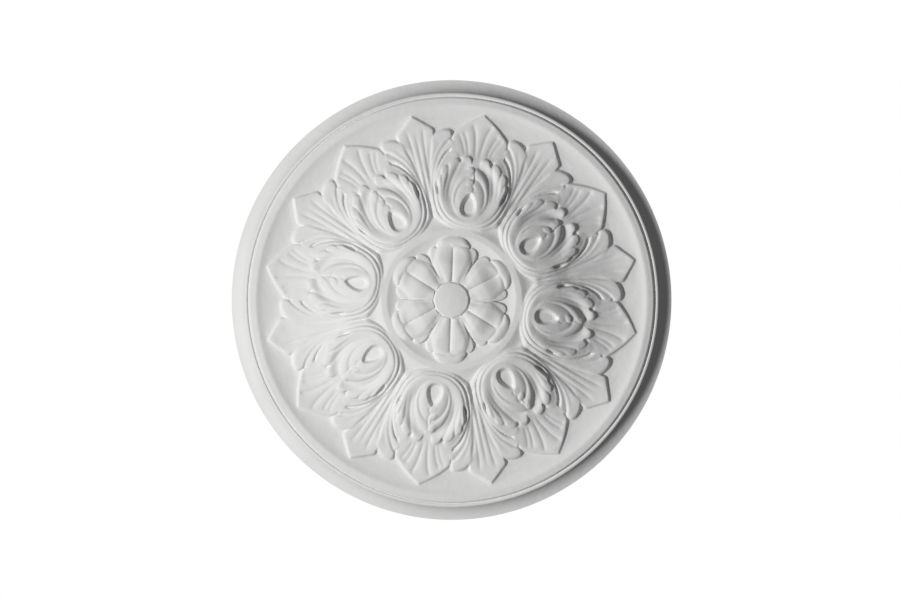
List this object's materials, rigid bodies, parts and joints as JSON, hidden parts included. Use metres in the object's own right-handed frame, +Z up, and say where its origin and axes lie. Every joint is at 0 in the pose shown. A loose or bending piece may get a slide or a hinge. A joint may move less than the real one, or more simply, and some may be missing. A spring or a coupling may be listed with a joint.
{
  "type": "ceiling rose",
  "caption": "Round plaster ceiling rose: a dome of curled acanthus leaves around a petalled rosette and a plain flat boss, inside a hollow-moulded circular rim.",
  "frame": {"origin": "centre of the flat back, where the rose meets the ceiling", "axes": "+Z points up into the ceiling, square to the flat back; the ornament hangs towards -Z, and the middle of one leaf group lies along +X"},
  "size_m": [0.5, 0.5, 0.0765],
  "materials": {
    "plaster": "matt white cast plaster"
  },
  "bodies": {
    "root": {"ceiling_rose": "plaster"}
  },
  "joints": []
}
